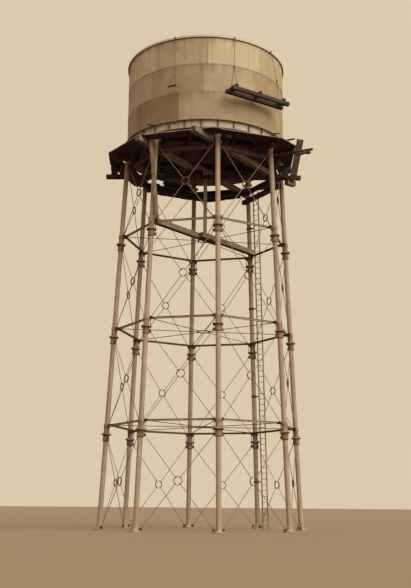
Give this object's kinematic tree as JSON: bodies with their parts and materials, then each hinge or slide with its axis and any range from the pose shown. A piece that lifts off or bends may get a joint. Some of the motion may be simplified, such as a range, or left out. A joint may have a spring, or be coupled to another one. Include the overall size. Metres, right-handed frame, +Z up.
{
  "type": "water tower",
  "caption": "Open round riveted tank on raking cast-iron columns with rod bracing, plank walkway and erection staging.",
  "frame": {"origin": "on the tower's vertical axis, at ground level under the column feet", "axes": "+Z up; -Y towards column_1, which stands nearest the viewer in the picture; columns are numbered anticlockwise seen from above"},
  "size_m": [10.68, 10.68, 24.4103],
  "materials": {
    "cast_iron_columns": "oil-painted cast iron, weathered, warm brown-grey",
    "bracing_iron": "dark painted wrought iron, dull",
    "girder_iron": "painted rolled iron, dull",
    "tank_plates": "painted iron plate, lapped and riveted, streaked",
    "dark_timber": "rough sawn plank, dark and dirty",
    "pale_timber": "rough sawn timber, weathered",
    "rope": "laid hemp rope, dirty"
  },
  "bodies": {
    "root": {"bracing_side_1": "bracing_iron", "bracing_side_2": "bracing_iron", "bracing_side_3": "bracing_iron", "bracing_side_4": "bracing_iron", "bracing_side_5": "bracing_iron", "bracing_side_6": "bracing_iron", "bracing_side_7": "bracing_iron", "bracing_side_8": "bracing_iron", "centre_post": "pale_timber", "chair_rope": "rope", "column_1": "cast_iron_columns", "column_2": "cast_iron_columns", "column_3": "cast_iron_columns", "column_4": "cast_iron_columns", "column_5": "cast_iron_columns", "column_6": "cast_iron_columns", "column_7": "cast_iron_columns", "column_8": "cast_iron_columns", "cross_block": "pale_timber", "diagonal_timber_far": "pale_timber", "diagonal_timber_near": "pale_timber", "hanger_left_inner": "dark_timber", "hanger_left_outer": "dark_timber", "hanger_right": "dark_timber", "hanging_stage": "dark_timber", "head_ring_beam": "bracing_iron", "ladder": "pale_timber", "lashed_pole": "dark_timber", "leaning_post": "pale_timber", "long_pole": "dark_timber", "lower_bearer": "dark_timber", "needle_block": "dark_timber", "needle_left_far": "pale_timber", "needle_left_near": "pale_timber", "needle_right": "pale_timber", "plan_bracing_1": "bracing_iron", "plan_bracing_2": "bracing_iron", "plan_bracing_3": "bracing_iron", "rear_ledger": "dark_timber", "short_pole": "dark_timber", "tall_plank": "dark_timber", "tank_floor": "tank_plates", "tank_floor_beams": "bracing_iron", "tank_ring_girder": "girder_iron", "tank_wall_1": "tank_plates", "tank_wall_2": "tank_plates", "tank_wall_3": "tank_plates", "tank_wall_4": "tank_plates", "tank_wall_5": "tank_plates", "tank_wall_6": "tank_plates", "tank_wall_7": "tank_plates", "tank_wall_8": "tank_plates", "walkway_bearer_1": "dark_timber", "walkway_bearer_2": "dark_timber", "walkway_bearer_3": "dark_timber", "walkway_bearer_4": "dark_timber", "walkway_bearer_5": "dark_timber", "walkway_bearer_6": "dark_timber", "walkway_bearer_7": "dark_timber", "walkway_deck": "dark_timber"}
  },
  "joints": []
}
